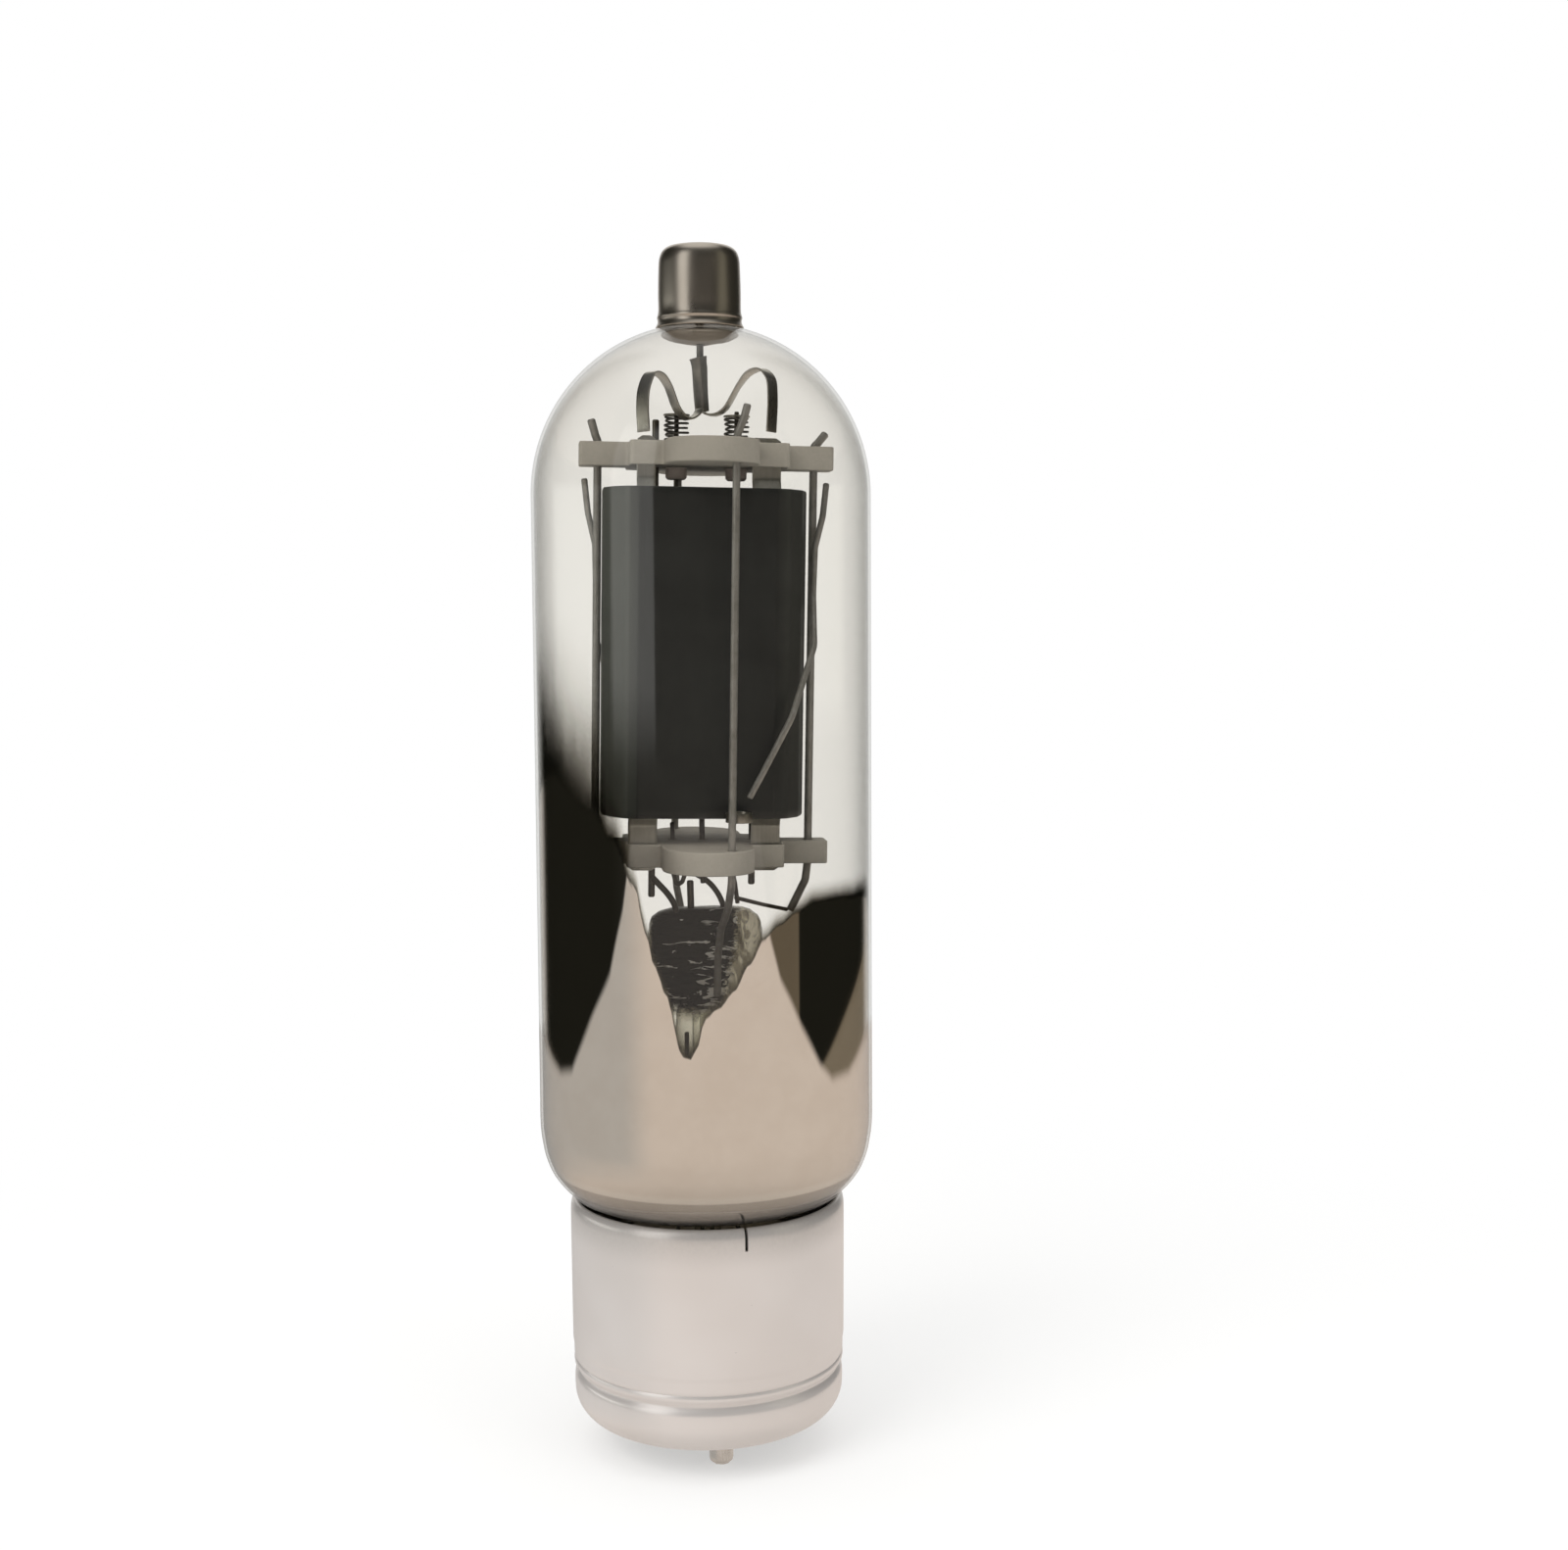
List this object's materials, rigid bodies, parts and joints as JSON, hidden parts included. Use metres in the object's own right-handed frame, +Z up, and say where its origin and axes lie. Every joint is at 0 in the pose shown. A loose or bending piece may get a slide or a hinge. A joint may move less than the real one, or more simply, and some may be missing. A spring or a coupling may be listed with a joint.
{
  "type": "vacuum tube",
  "caption": "Tall glass transmitting triode: tubular bulb with silvered lower half, dark anode between ceramic spacers, metal top cap and metal-shell pin base.",
  "frame": {"origin": "centre of the plane through the four pin tips, on the tube's axis", "axes": "+Z up along the tube's axis towards the anode cap, -Y towards the viewer, X along the wide side of the anode"},
  "size_m": [0.0586, 0.0586, 0.2101],
  "materials": {
    "glass_clear": "clear drawn glass with a faint grey-green edge",
    "getter_mirror": "flashed getter film, warm silver mirror",
    "cap_metal": "satin, tarnished nickel plate",
    "cement": "matte basing cement",
    "bright_nickel": "satin nickel strip",
    "dark_nickel": "dark oxidised nickel wire",
    "grid_wire": "fine drawn wire",
    "filament_wire": "thoriated tungsten wire, dull",
    "steatite": "matte unglazed steatite",
    "anode_black": "matte carbonised sheet",
    "base_metal": "satin plated metal shell",
    "pin_metal": "nickel-plated pin with a soldered tip"
  },
  "bodies": {
    "tube": {"bulb": "glass_clear", "stem": "glass_clear", "exhaust_tube": "glass_clear", "top_seal": "glass_clear", "getter_film": "getter_mirror", "anode_cap": "cap_metal", "cap_cement": "cement", "base_cement": "cement", "anode_lead_sleeve": "bright_nickel", "ribbon_left": "bright_nickel", "ribbon_right": "bright_nickel", "anode_strap_left": "bright_nickel", "anode_strap_right": "bright_nickel", "lower_strap_left": "bright_nickel", "lower_strap_right": "bright_nickel", "getter_cup_front": "bright_nickel", "getter_cup_rear": "bright_nickel", "anode_lead_pin": "dark_nickel", "tie_rod_left": "dark_nickel", "tie_rod_right": "dark_nickel", "tie_rod_front": "dark_nickel", "tie_rod_rear": "dark_nickel", "getter_wire_left": "dark_nickel", "getter_wire_right": "dark_nickel", "grid_rod_left": "dark_nickel", "grid_rod_right": "dark_nickel", "filament_center_hook": "dark_nickel", "filament_lead_left": "dark_nickel", "filament_lead_right": "dark_nickel", "grid_lead": "dark_nickel", "center_lead": "dark_nickel", "arch_lead": "dark_nickel", "diagonal_brace": "dark_nickel", "base_lead_1": "dark_nickel", "base_lead_2": "dark_nickel", "base_lead_3": "dark_nickel", "base_lead_4": "dark_nickel", "grid_helix": "grid_wire", "filament_left": "filament_wire", "filament_right": "filament_wire", "spring_left": "filament_wire", "spring_right": "filament_wire", "top_spacer": "steatite", "bottom_spacer": "steatite", "hook_bush_left": "steatite", "hook_bush_right": "steatite", "base_insulator": "steatite", "anode_front_half": "anode_black", "anode_rear_half": "anode_black", "base_shell": "base_metal", "bayonet_pin": "base_metal", "pin_1": "pin_metal", "pin_2": "pin_metal", "pin_3": "pin_metal", "pin_4": "pin_metal"},
    "hook_left": {"hook_rod_left": "dark_nickel", "spring_collar_left": "bright_nickel"},
    "hook_right": {"hook_rod_right": "dark_nickel", "spring_collar_right": "bright_nickel"}
  },
  "joints": [
    {"name": "hook_left_slide", "type": "slide", "parent": "tube", "child": "hook_left", "axis": [0, 0, 1], "range_m": [0, 0.0008], "deforming": ["spring_left", "filament_left"]},
    {"name": "hook_right_slide", "type": "slide", "parent": "tube", "child": "hook_right", "axis": [0, 0, 1], "range_m": [0, 0.0008], "deforming": ["spring_right", "filament_right"]}
  ],
  "couplings": [
    {"joint": "hook_right_slide", "follows": "hook_left_slide", "ratio": 1}
  ]
}
